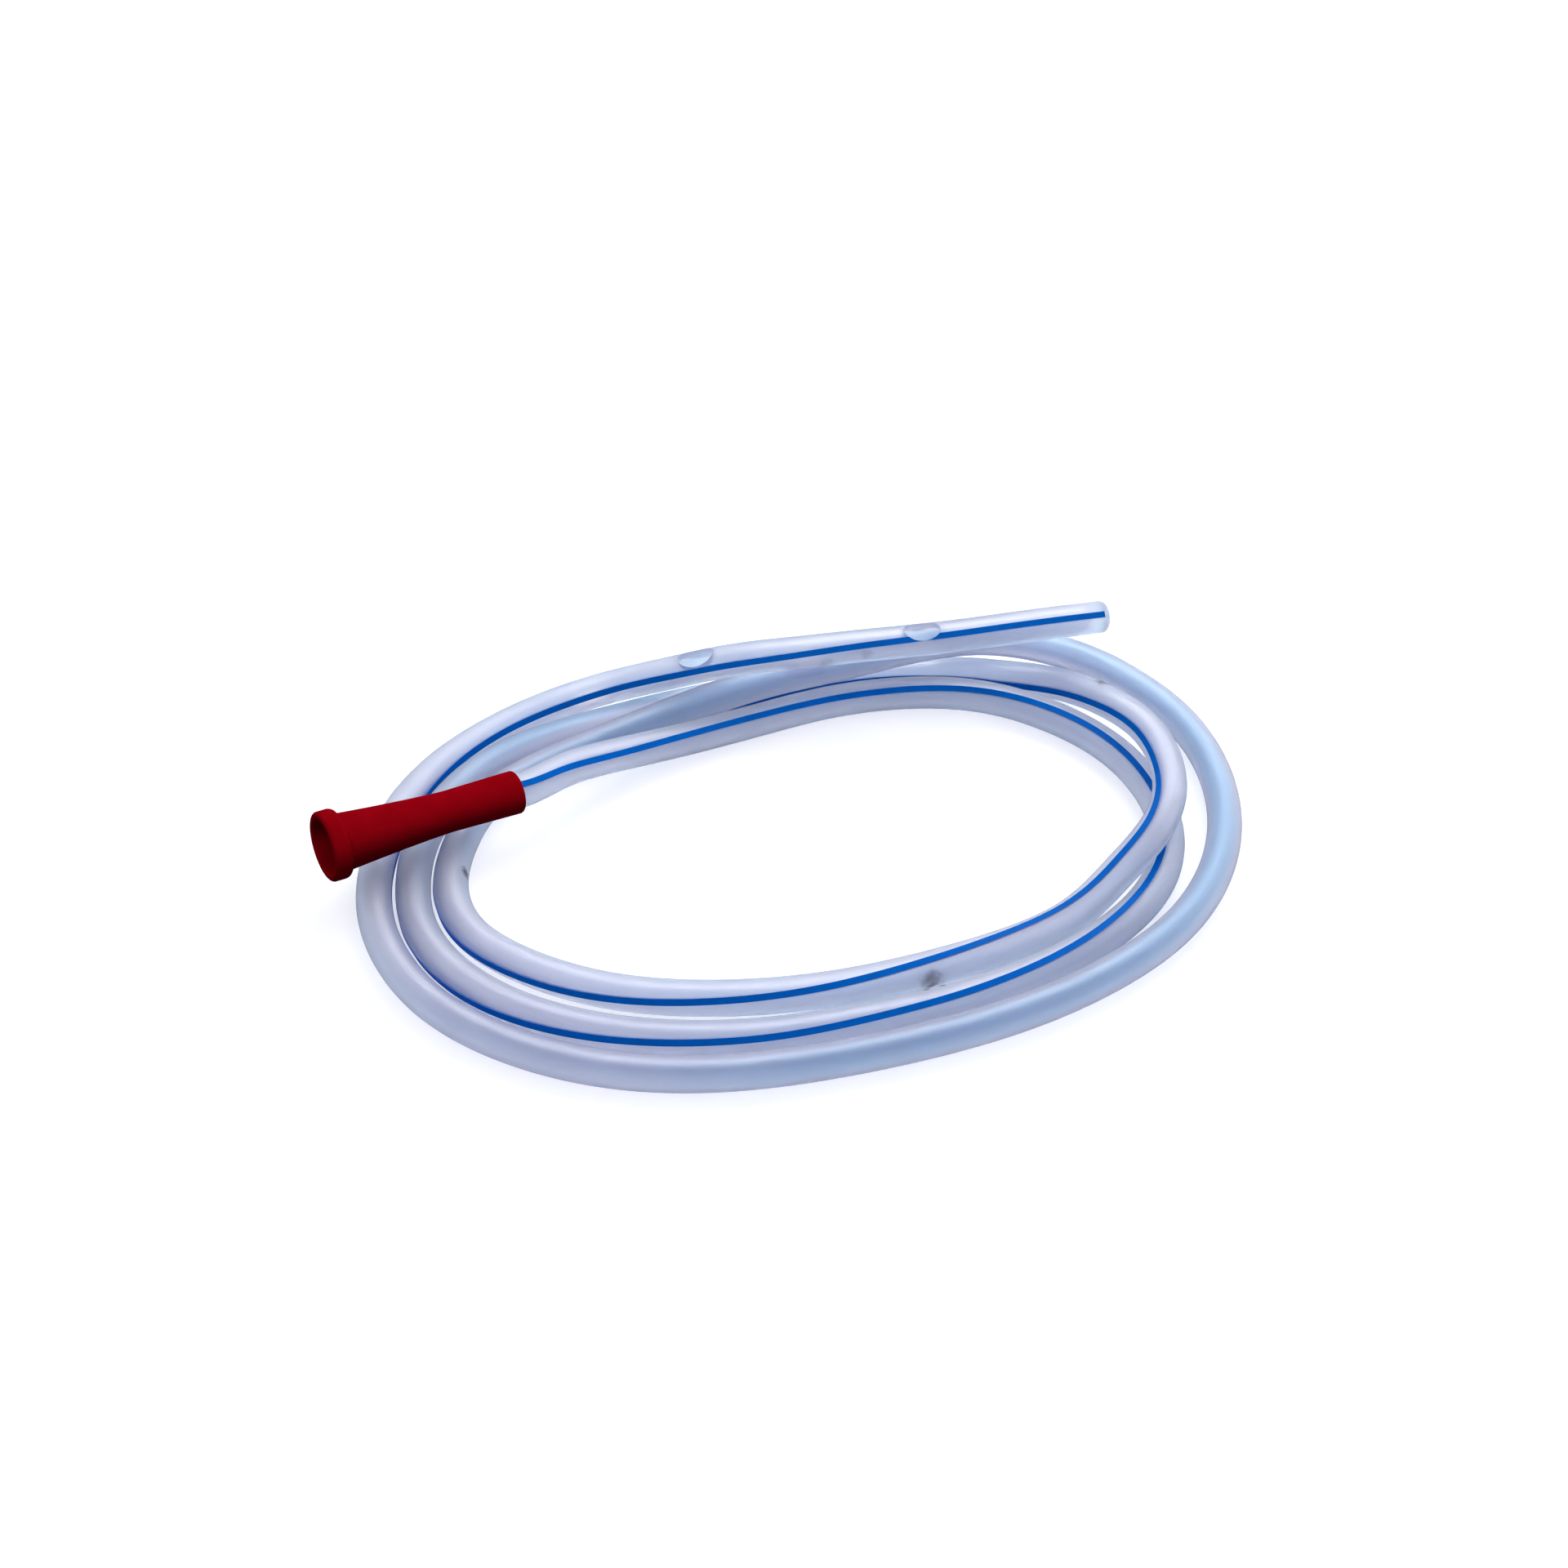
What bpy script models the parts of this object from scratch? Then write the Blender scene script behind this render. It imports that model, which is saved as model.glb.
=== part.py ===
"""Nasogastric tube with its funnel connector, lying in a loose coil of three turns.

Metres, +Z up. The coil lies on the plane z = 0 and the origin is under the middle of it. The mouth
of the funnel looks along -X. The tube is one extrusion, open in the funnel's socket and closed and
rounded at its tip, with side eyes through its wall and a radiopaque strip let into its outside.
"""

import math

import bmesh
import bpy
import numpy as np
from mathutils import Matrix, Vector

MM = 0.001

# Tube: an 18 French extrusion
TUBE_OD = 0.0060
TUBE_BORE = 0.0040
TIP_WALL = 0.0025
TIP_ROUNDING = 0.0013

# Radiopaque strip in the wall of the tube
STRIP_WIDTH = 0.0010
STRIP_DEPTH = 0.0004
STRIP_CLEARANCE = 0.0002

# Side eyes: distance of the middle from the tip, and the side they open to, in degrees from up
EYE_LENGTH = 0.0070
EYE_WIDTH = 0.0034
EYES = ((0.0375, 18.0), (0.0585, 198.0), (0.080, 20.0), (0.100, 200.0))

# Funnel connector, along its axis from the tube's end to the mouth
FUNNEL_LENGTH = 0.0360
SOCKET_DEPTH = 0.0115
SOCKET_CLEARANCE = 0.00015
SOCKET_WALL = 0.00065
SOCKET_EDGE = 0.0006
WAIST_BEHIND_SOCKET = 0.0015
WAIST_NARROWING = 0.0002
THROAT_BORE = 0.0044
THROAT_LENGTH = 0.0030
MOUTH_BORE = 0.0096
FLARE_WALL = 0.0006
RIM_WALL = 0.0013
RIM_WIDTH = 0.0034
RIM_ROUNDING = 0.0006
LIP_ROUNDING = 0.0003
FUNNEL_TILT = math.radians(2.5)

# Fineness of the meshes
STATION_PITCH = 0.0082
TIP_STEPS = 3
WALL_SIDES = 10
FUNNEL_SIDES = 32
ARC_STEPS = 4
FLARE_STEPS = 6
EYE_SIDES = 20

# Route of the tube's centre from the funnel to the tip, in millimetres: x, y and how far the
# tube's underside is lifted off the table. It lies on the table except where a turn rides over
# another, and where its tip springs up over the last turn.
ROUTE = (
    (-42.1, 28.9, 6.9), (-33.4, 31.2, 6.2), (-23.9, 34.0, 4.1), (-13.3, 35.6, 1.8),
    (-1.5, 36.0, 0.4), (11.5, 35.4, 0.0), (23.5, 34.0, 0.0), (35.0, 30.6, 0.0),
    (48.5, 22.0, 0.0), (57.0, 8.5, 0.0), (60.0, -4.3, 0.0), (59.1, -16.3, 0.0),
    (54.7, -28.2, 0.0), (43.7, -40.6, 0.0), (28.2, -47.6, 0.0), (14.2, -49.7, 0.0),
    (-0.6, -49.3, 0.0), (-16.3, -46.3, 0.0), (-32.5, -41.4, 0.0), (-45.7, -34.5, 0.0),
    (-57.8, -24.2, 0.0), (-65.9, -11.9, 0.0), (-69.4, 1.2, 0.0), (-68.9, 11.8, 0.0),
    (-65.4, 22.0, 0.0), (-59.3, 32.2, 0.0), (-50.3, 41.2, 0.0), (-39.9, 47.0, 0.0),
    (-28.1, 49.2, 0.0), (-13.2, 48.5, 0.0), (1.5, 46.7, 0.0), (16.1, 43.4, 0.0),
    (30.6, 39.1, 0.0), (45.2, 32.7, 0.0), (55.1, 26.0, 0.0), (61.7, 16.2, 1.8),
    (63.9, 2.9, 4.8), (63.4, -9.6, 6.5), (59.4, -21.4, 6.8), (53.1, -30.0, 6.8),
    (45.7, -35.3, 5.9), (38.4, -37.8, 3.7), (27.3, -40.9, 0.9), (13.5, -41.7, 0.0),
    (-1.2, -40.3, 0.0), (-17.8, -36.7, 0.0), (-35.2, -29.3, 0.0), (-48.9, -19.3, 0.0),
    (-58.3, -6.5, 0.0), (-62.3, 6.0, 0.0), (-60.2, 18.1, 0.0), (-53.2, 29.1, 0.0),
    (-44.5, 37.3, 0.0), (-35.5, 41.3, 0.0), (-24.6, 42.3, 0.6), (-12.6, 42.4, 1.7),
    (-0.8, 41.6, 3.1), (8.1, 40.5, 4.2), (17.9, 38.5, 5.2), (29.2, 35.0, 6.5),
    (38.9, 33.4, 6.9), (48.4, 32.1, 6.4), (58.4, 30.6, 4.3), (66.3, 26.5, 2.4),
    (72.5, 18.9, 1.0), (75.7, 9.4, 0.2), (76.2, -2.9, 0.0), (72.9, -16.7, 0.0),
    (64.9, -31.6, 0.0), (53.8, -43.3, 0.0), (40.1, -51.6, 0.0), (23.7, -56.0, 0.0),
    (7.8, -57.0, 0.0), (-9.2, -55.3, 0.0), (-27.7, -51.1, 0.0), (-43.6, -45.2, 0.0),
    (-57.0, -36.6, 0.0), (-68.2, -23.9, 0.0), (-75.3, -7.6, 0.0), (-76.2, 7.4, 0.0),
    (-73.4, 20.0, 0.0), (-67.1, 32.2, 0.0), (-59.8, 41.5, 0.0), (-49.0, 50.0, 0.0),
    (-37.3, 55.2, 0.1), (-24.6, 57.0, 1.0), (-12.0, 55.1, 2.8), (-2.4, 48.6, 6.6),
    (7.2, 40.9, 10.8), (17.4, 35.1, 12.4), (29.5, 30.4, 12.7), (43.0, 26.4, 12.2),
    (58.6, 23.3, 11.2), (75.2, 19.7, 10.2),
)

# Where the strip lies round the tube: length from the funnel in millimetres, and degrees from up
# towards the inside of the coil. The tube was wound with a full twist in every turn.
STRIP_TURNS = (
    (0, 24), (8, 38), (17, 53), (28, 46), (42, 36), (55, 38), (70, 46), (85, 42), (100, 32),
    (112, 21), (131, 18), (150, 14), (166, 13), (177, 4), (190, -15), (212, -28), (237, -50),
    (262, -64), (282, -80), (301, -101), (341, -145), (390, -215), (433, -289), (452, -283),
    (466, -268), (480, -270), (495, -289), (512, -300), (521, -311), (530, -341), (540, -362),
    (550, -353), (560, -350), (570, -363), (588, -384), (608, -410), (628, -429), (648, -450),
    (664, -455), (678, -466), (733, -490), (803, -510), (864, -580), (934, -635), (1004, -645),
    (1054, -632), (1093, -630), (1113, -642), (1130, -650), (1160, -644), (1180, -642),
    (1193, -655), (1205, -666), (1225, -673), (1264, -672),
)


def clear_scene():
    """Empty the file of whatever it starts with."""
    for item in list(bpy.data.objects):
        bpy.data.objects.remove(item, do_unlink=True)


def make_material(name, color, roughness, transmission=0.0):
    """A Principled material in one colour."""
    material = bpy.data.materials.new(name)
    material.use_nodes = True
    shader = material.node_tree.nodes["Principled BSDF"]
    shader.inputs["Base Color"].default_value = (*color, 1.0)
    shader.inputs["Roughness"].default_value = roughness
    shader.inputs["Metallic"].default_value = 0.0
    shader.inputs["Transmission Weight"].default_value = transmission
    material.diffuse_color = (*color, 1.0)
    return material


def make_object(name, rings, loop, material):
    """One closed body from rings of equal count, joined end to end in a loop or capped."""
    mesh = bmesh.new()
    made = [[mesh.verts.new(point) for point in ring] for ring in rings]
    pairs = list(zip(made, made[1:]))
    if loop:
        pairs.append((made[-1], made[0]))
    for ring, following in pairs:
        count = len(ring)
        for i in range(count):
            j = (i + 1) % count
            mesh.faces.new((ring[i], ring[j], following[j], following[i]))
    if not loop:
        mesh.faces.new(list(reversed(made[0])))
        mesh.faces.new(made[-1])
    bmesh.ops.recalc_face_normals(mesh, faces=mesh.faces)
    if mesh.calc_volume(signed=True) < 0.0:
        bmesh.ops.reverse_faces(mesh, faces=mesh.faces)
    data = bpy.data.meshes.new(name)
    mesh.to_mesh(data)
    mesh.free()
    data.shade_smooth()
    data.set_sharp_from_angle(angle=math.radians(40))
    data.materials.append(material)
    item = bpy.data.objects.new(name, data)
    bpy.context.scene.collection.objects.link(item)
    return item


def route_points():
    """The route's own points in metres, at the height of the tube's centre."""
    points = np.array(ROUTE) * MM
    points[:, 2] += TUBE_OD / 2
    return points


def funnel_axis():
    """Unit vector from the funnel into the tube: level but for the funnel's tilt."""
    return np.array((math.cos(FUNNEL_TILT), 0.0, -math.sin(FUNNEL_TILT)))


def smooth_route(points, first_direction, pitch):
    """Even stations on the cubic spline through the points, which leaves along first_direction."""
    knots = np.concatenate(([0.0], np.cumsum(np.linalg.norm(np.diff(points, axis=0), axis=1))))
    gaps = np.diff(knots)
    slopes = np.diff(points, axis=0) / gaps[:, None]
    count = len(points)
    system = np.zeros((count, count))
    right = np.zeros((count, 3))
    system[0, :2] = 2 * gaps[0], gaps[0]
    right[0] = 6 * (slopes[0] - first_direction)
    system[-1, -1] = 1.0
    for i in range(1, count - 1):
        system[i, i - 1:i + 2] = gaps[i - 1], 2 * (gaps[i - 1] + gaps[i]), gaps[i]
        right[i] = 6 * (slopes[i] - slopes[i - 1])
    bends = np.linalg.solve(system, right)

    fine = np.linspace(0.0, knots[-1], 8 * int(knots[-1] / pitch))
    k = np.clip(np.searchsorted(knots, fine, side="right") - 1, 0, count - 2)
    before = (fine - knots[k])[:, None]
    after = (knots[k + 1] - fine)[:, None]
    gap = gaps[k][:, None]
    curve = (
        (bends[k] * after ** 3 + bends[k + 1] * before ** 3) / (6 * gap)
        + (points[k] / gap - bends[k] * gap / 6) * after
        + (points[k + 1] / gap - bends[k + 1] * gap / 6) * before
    )
    curve[:, 2] = np.maximum(curve[:, 2], TUBE_OD / 2)

    run = np.concatenate(([0.0], np.cumsum(np.linalg.norm(np.diff(curve, axis=0), axis=1))))
    even = np.linspace(0.0, run[-1], round(run[-1] / pitch) + 1)
    stations = np.stack([np.interp(even, run, curve[:, i]) for i in range(3)], axis=1)
    return stations, even


class Path:
    """The tube's centre line, with the frame that its section is drawn in."""

    def __init__(self):
        start = funnel_axis()
        self.exit = route_points()[0]
        self.points, self.lengths = smooth_route(route_points(), start, STATION_PITCH)
        self.total = self.lengths[-1]

    def at(self, length):
        """Centre, direction, inward side and up at a length; straight inside the funnel."""
        step = STATION_PITCH / 4
        centre = self.place(length)
        ahead = self.place(length + step) - self.place(length - step)
        along = ahead / np.linalg.norm(ahead)
        inward = np.cross(along, (0.0, 0.0, 1.0))
        inward /= np.linalg.norm(inward)
        return centre, along, inward, np.cross(inward, along)

    def place(self, length):
        """Centre at a length, which runs on straight past either end."""
        if length <= 0.0:
            return self.exit + funnel_axis() * length
        if length > self.total:
            last = self.points[-1] - self.points[-2]
            return self.points[-1] + last / np.linalg.norm(last) * (length - self.total)
        return np.array([np.interp(length, self.lengths, self.points[:, i]) for i in range(3)])

    def ring(self, length, section):
        """The section's points, given as radius and degrees from up, set at a length."""
        centre, _, inward, up = self.at(length)
        ring = []
        for radius, degrees in section:
            angle = math.radians(degrees)
            ring.append(centre + radius * (math.sin(angle) * inward + math.cos(angle) * up))
        return ring


def strip_angle(length):
    """Degrees from up of the strip's middle at a length from the funnel."""
    places, angles = zip(*STRIP_TURNS)
    return float(np.interp(length / MM, places, angles))


def strip_corners(clearance):
    """Half the strip's angle in degrees at the outside, and its floor's radius."""
    half = math.degrees((STRIP_WIDTH / 2 + clearance) / (TUBE_OD / 2))
    return half, TUBE_OD / 2 - STRIP_DEPTH - clearance


def tube_section(middle):
    """Outside of the tube's wall with the strip's groove, as radius and degrees."""
    half, floor = strip_corners(STRIP_CLEARANCE)
    section = round_section(middle, TUBE_OD / 2)
    section[1:3] = [(floor, middle - half), (floor, middle + half)]
    return section


def round_section(middle, radius):
    """A full round with as many points as the grooved section, each at the same side."""
    half, _ = strip_corners(STRIP_CLEARANCE)
    step = (360.0 - 2 * half) / (WALL_SIDES + 1)
    angles = [-half, -half / 3, half / 3] + [half + step * i for i in range(WALL_SIDES + 1)]
    return [(radius, middle + angle) for angle in angles]


def station_lengths(last):
    """Lengths from the tube's end in the socket to last, at about the station pitch."""
    count = round(last / STATION_PITCH)
    return [-SOCKET_DEPTH, -SOCKET_DEPTH / 2, *np.linspace(0.0, last, count + 1)]


def build_tube(path, material):
    """The whole tube as one wall: out along the outside, round the tip and back down the bore."""
    shoulder = path.total - TIP_ROUNDING
    rings = [path.ring(s, tube_section(strip_angle(s))) for s in station_lengths(shoulder)]
    end_angle = strip_angle(path.total)
    for i in range(1, TIP_STEPS + 1):
        turn = math.pi / 2 * i / TIP_STEPS
        place = shoulder + TIP_ROUNDING * math.sin(turn)
        radius = TUBE_OD / 2 - TIP_ROUNDING * (1 - math.cos(turn))
        rings.append(path.ring(place, round_section(end_angle, radius)))

    bore = []
    for s in station_lengths(path.total - TIP_WALL):
        bore.append(path.ring(s, round_section(strip_angle(s), TUBE_BORE / 2)))
    return make_object("tube", bore[::-1] + rings, False, material)


def build_strip(path, material):
    """The radiopaque strip, flush with the outside of the tube."""
    half, floor = strip_corners(0.0)
    rings = []
    for s in station_lengths(path.total - TIP_ROUNDING):
        middle = strip_angle(s)
        section = [(TUBE_OD / 2, middle - half), (floor, middle - half)]
        section += [(floor, middle + half), (TUBE_OD / 2, middle + half)]
        rings.append(path.ring(s, section))
    return make_object("xray_line", rings, False, material)


def cut_eyes(path, body, purpose):
    """Punch the side eyes through the wall of a body with oval cutters."""
    for number, (from_tip, degrees) in enumerate(EYES):
        centre, along, inward, up = path.at(path.total - from_tip)
        angle = math.radians(degrees)
        out = math.sin(angle) * inward + math.cos(angle) * up
        across = np.cross(out, along)
        rings = []
        for depth in (TUBE_BORE / 8, TUBE_OD * 0.75):
            ring = []
            for i in range(EYE_SIDES):
                turn = 2 * math.pi * i / EYE_SIDES
                offset = along * EYE_LENGTH / 2 * math.cos(turn) + across * EYE_WIDTH / 2 * math.sin(turn)
                ring.append(centre + out * depth + offset)
            rings.append(ring)
        cutter = make_object(f"{purpose}_eye_cutter_{number + 1}", rings, False, None)
        cutter.hide_render = True
        cutter.display_type = "WIRE"
        cut = body.modifiers.new(f"eye_{number + 1}", "BOOLEAN")
        cut.operation = "DIFFERENCE"
        cut.solver = "EXACT"
        cut.object = cutter


def arc(centre_place, centre_radius, radius, first, last, steps):
    """Points on a quarter of a circle in the funnel's profile, as place along it and radius."""
    points = []
    for i in range(steps + 1):
        turn = math.radians(first + (last - first) * i / steps)
        points.append((centre_place + radius * math.cos(turn), centre_radius + radius * math.sin(turn)))
    return points


def funnel_profile():
    """The funnel's section from its axis outwards, as place from the tube's end and radius."""
    bore = TUBE_OD / 2 + SOCKET_CLEARANCE
    socket = bore + SOCKET_WALL
    socket_end = SOCKET_DEPTH + SOCKET_CLEARANCE
    waist = socket - WAIST_NARROWING
    waist_place = socket_end + WAIST_BEHIND_SOCKET
    throat = THROAT_BORE / 2
    throat_end = socket_end + THROAT_LENGTH
    mouth = MOUTH_BORE / 2
    rim = mouth + RIM_WALL
    rim_start = FUNNEL_LENGTH - RIM_WIDTH
    flare = throat + (mouth - throat) * (rim_start - throat_end) / (FUNNEL_LENGTH - throat_end)
    flare += FLARE_WALL

    outside = arc(SOCKET_EDGE, socket - SOCKET_EDGE, SOCKET_EDGE, 180, 90, ARC_STEPS)
    for i in range(FLARE_STEPS + 1):
        share = i / FLARE_STEPS
        place = waist_place + (rim_start - waist_place) * share
        outside.append((place, waist + (flare - waist) * share ** 1.3))
    outside += arc(rim_start + RIM_ROUNDING, rim - RIM_ROUNDING, RIM_ROUNDING, 180, 90, ARC_STEPS)
    outside += arc(FUNNEL_LENGTH - RIM_ROUNDING, rim - RIM_ROUNDING, RIM_ROUNDING, 90, 0, ARC_STEPS)

    lip = arc(FUNNEL_LENGTH - LIP_ROUNDING, mouth + LIP_ROUNDING, LIP_ROUNDING, 0, -90, 2)
    inside = [(throat_end, throat), (socket_end, throat), (socket_end, bore), (0.0, bore)]
    return outside + lip + inside


def build_funnel(path, material):
    """The turned funnel, with its socket over the tube's end."""
    profile = funnel_profile()
    rings = []
    for place, radius in profile:
        turns = [2 * math.pi * i / FUNNEL_SIDES for i in range(FUNNEL_SIDES)]
        rings.append([Vector((-place, radius * math.sin(t), radius * math.cos(t))) for t in turns])
    funnel = make_object("funnel_connector", rings, True, material)
    funnel.matrix_world = Matrix.Translation(Vector(path.exit)) @ Matrix.Rotation(FUNNEL_TILT, 4, "Y")
    return funnel


def main():
    clear_scene()
    path = Path()
    clear_pvc = make_material("frosted_pvc", (0.72, 0.76, 0.90), 0.35, transmission=0.6)
    blue = make_material("radiopaque_blue", (0.0, 0.10, 0.45), 0.4)
    red = make_material("red_pvc", (0.28, 0.0, 0.01), 0.35)
    tube = build_tube(path, clear_pvc)
    strip = build_strip(path, blue)
    build_funnel(path, red)
    cut_eyes(path, tube, "tube")
    cut_eyes(path, strip, "strip")


main()
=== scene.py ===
"""A nasogastric tube in a loose coil: its looks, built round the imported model.

Metres, +Z up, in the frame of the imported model. The tube, its radiopaque strip and its funnel are
made again with fine round sections along the same route as the solids.
"""

import math

import bmesh
import bpy
import numpy as np
from mathutils import Matrix, Vector
from mathutils.kdtree import KDTree


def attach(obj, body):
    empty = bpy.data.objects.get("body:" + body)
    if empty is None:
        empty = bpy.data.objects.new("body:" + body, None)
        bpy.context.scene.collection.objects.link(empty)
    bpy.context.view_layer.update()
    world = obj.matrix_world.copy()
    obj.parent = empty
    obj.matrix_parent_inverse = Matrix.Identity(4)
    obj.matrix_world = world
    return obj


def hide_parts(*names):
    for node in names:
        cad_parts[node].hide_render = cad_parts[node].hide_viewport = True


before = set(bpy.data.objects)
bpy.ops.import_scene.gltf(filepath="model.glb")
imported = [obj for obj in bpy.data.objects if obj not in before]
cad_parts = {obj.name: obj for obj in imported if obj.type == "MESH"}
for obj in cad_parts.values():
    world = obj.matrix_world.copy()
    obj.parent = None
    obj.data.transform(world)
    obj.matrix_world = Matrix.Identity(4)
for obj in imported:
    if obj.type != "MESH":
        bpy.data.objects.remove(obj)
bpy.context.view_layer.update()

MM = 0.001

# Tube
TUBE_OD = 0.0060
TUBE_BORE = 0.0040
TIP_WALL = 0.0025
TIP_ROUNDING = 0.0013
BORE_RUN_OUT = 0.001
BORE_LIMIT = 0.42 * TUBE_OD
STRIP_WIDTH = 0.0011
STRIP_DEPTH = 0.0005
STRIP_PROUD = 0.00002
STRIP_END_MARGIN = 0.0006
EYE_LENGTH = 0.0070
EYE_WIDTH = 0.0042
EYE_CUTTER_PLACE = 0.46 * TUBE_OD
EYE_CUTTER_DEPTH = 0.7 * TUBE_OD
EYES = ((0.0371, 17.0), (0.0585, 198.0), (0.0780, 13.0), (0.100, 200.0))

# Small dark spots on the skin: stains, and in the last two rows, faint ones near the tip, painted shade
# of the underside eye seen through the wall. Length from the funnel in millimetres, degrees from up
# towards the inside of the coil, radius in millimetres and how dark.
STAINS_AND_SEEN_EYE_SHADE = (
    (583.2, -96, 2.7, 0.7), (583.0, -116, 1.2, 0.9), (218.4, 34, 0.9, 0.95), (215.8, 30, 0.8, 0.95),
    (678.8, 63, 1.5, 0.98), (486.1, -20, 1.7, 0.8), (1197.4, 118, 1.8, 0.35), (1204.4, 92, 1.6, 0.35),
)

# Funnel connector, along its axis from the tube's end to the mouth
FUNNEL_LENGTH = 0.0360
SOCKET_DEPTH = 0.0115
SOCKET_CLEARANCE = 0.00015
SOCKET_WALL = 0.00065
THROAT_BORE = 0.0044
THROAT_LENGTH = 0.0030
MOUTH_BORE = 0.0096
FLARE_WALL = 0.0006
RIM_WALL = 0.0013
RIM_WIDTH = 0.0034
FUNNEL_EDGE = 0.0006
FUNNEL_LIP = 0.0003
WAIST_DROP = 0.0002
WAIST_RUN = 0.0015
FLARE_CURVE = 1.3
FUNNEL_TILT = math.radians(2.5)

# Fineness
STATION_PITCH = 0.00125
MARK_PITCH = 0.0006
STRIP_BLEND = 9.0
FLARE_STEPS = 24
WALL_SIDES = 48
BORE_SIDES = 32
FUNNEL_SIDES = 96

# Route of the tube's centre from the funnel to the tip, in millimetres: x, y and how far the
# tube's underside is lifted off the table.
ROUTE = (
    (-42.1, 28.9, 6.9), (-33.4, 31.2, 6.2), (-23.9, 34.0, 4.1), (-13.3, 35.6, 1.8),
    (-1.5, 36.0, 0.4), (11.5, 35.4, 0.0), (23.5, 34.0, 0.0), (35.0, 30.6, 0.0),
    (48.5, 22.0, 0.0), (57.0, 8.5, 0.0), (60.0, -4.3, 0.0), (59.1, -16.3, 0.0),
    (54.7, -28.2, 0.0), (43.7, -40.6, 0.0), (28.2, -47.6, 0.0), (14.2, -49.7, 0.0),
    (-0.6, -49.3, 0.0), (-16.3, -46.3, 0.0), (-32.5, -41.4, 0.0), (-45.7, -34.5, 0.0),
    (-57.8, -24.2, 0.0), (-65.9, -11.9, 0.0), (-69.4, 1.2, 0.0), (-68.9, 11.8, 0.0),
    (-65.4, 22.0, 0.0), (-59.3, 32.2, 0.0), (-50.3, 41.2, 0.0), (-39.9, 47.0, 0.0),
    (-28.1, 49.2, 0.0), (-13.2, 48.5, 0.0), (1.5, 46.7, 0.0), (16.1, 43.4, 0.0),
    (30.6, 39.1, 0.0), (45.2, 32.7, 0.0), (55.1, 26.0, 0.0), (61.7, 16.2, 1.8),
    (63.9, 2.9, 4.8), (63.4, -9.6, 6.5), (59.4, -21.4, 6.8), (53.1, -30.0, 6.8),
    (45.7, -35.3, 5.9), (38.4, -37.8, 3.7), (27.3, -40.9, 0.9), (13.5, -41.7, 0.0),
    (-1.2, -40.3, 0.0), (-17.8, -36.7, 0.0), (-35.2, -29.3, 0.0), (-48.9, -19.3, 0.0),
    (-58.3, -6.5, 0.0), (-62.3, 6.0, 0.0), (-60.2, 18.1, 0.0), (-53.2, 29.1, 0.0),
    (-44.5, 37.3, 0.0), (-35.5, 41.3, 0.0), (-24.6, 42.3, 0.6), (-12.6, 42.4, 1.7),
    (-0.8, 41.6, 3.1), (8.1, 40.5, 4.2), (17.9, 38.5, 5.2), (29.2, 35.0, 6.5),
    (38.9, 33.4, 6.9), (48.4, 32.1, 6.4), (58.4, 30.6, 4.3), (66.3, 26.5, 2.4),
    (72.5, 18.9, 1.0), (75.7, 9.4, 0.2), (76.2, -2.9, 0.0), (72.9, -16.7, 0.0),
    (64.9, -31.6, 0.0), (53.8, -43.3, 0.0), (40.1, -51.6, 0.0), (23.7, -56.0, 0.0),
    (7.8, -57.0, 0.0), (-9.2, -55.3, 0.0), (-27.7, -51.1, 0.0), (-43.6, -45.2, 0.0),
    (-57.0, -36.6, 0.0), (-68.2, -23.9, 0.0), (-75.3, -7.6, 0.0), (-76.2, 7.4, 0.0),
    (-73.4, 20.0, 0.0), (-67.1, 32.2, 0.0), (-59.8, 41.5, 0.0), (-49.0, 50.0, 0.0),
    (-37.3, 55.2, 0.1), (-24.6, 57.0, 1.0), (-12.0, 55.1, 2.8), (-2.4, 48.6, 6.6),
    (7.2, 40.9, 10.8), (17.4, 35.1, 12.4), (29.5, 30.4, 12.7), (43.0, 26.4, 12.2),
    (58.6, 23.3, 11.2), (75.2, 19.7, 10.2),
)

# Where the strip lies round the tube: length from the funnel in millimetres, and degrees from up
# towards the inside of the coil.
STRIP_TURNS = (
    (0, 26), (8, 50), (17, 60), (28, 48), (42, 36), (55, 38), (70, 46), (85, 42), (100, 32),
    (112, 21), (131, 18), (150, 14), (166, 13), (177, 4), (190, -15), (212, -28), (237, -50),
    (262, -64), (282, -80), (301, -101), (341, -145), (390, -215), (433, -289), (452, -283),
    (466, -268), (480, -270), (495, -289), (512, -300), (521, -311), (530, -341), (540, -362),
    (550, -353), (560, -350), (570, -363), (588, -384), (608, -410), (628, -429), (648, -450),
    (664, -455), (678, -466), (733, -490), (803, -510), (864, -515), (934, -584), (1004, -600),
    (1054, -608), (1093, -622), (1113, -642), (1130, -656), (1160, -650), (1180, -642),
    (1193, -655), (1205, -666), (1225, -673), (1264, -672),
)


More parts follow.
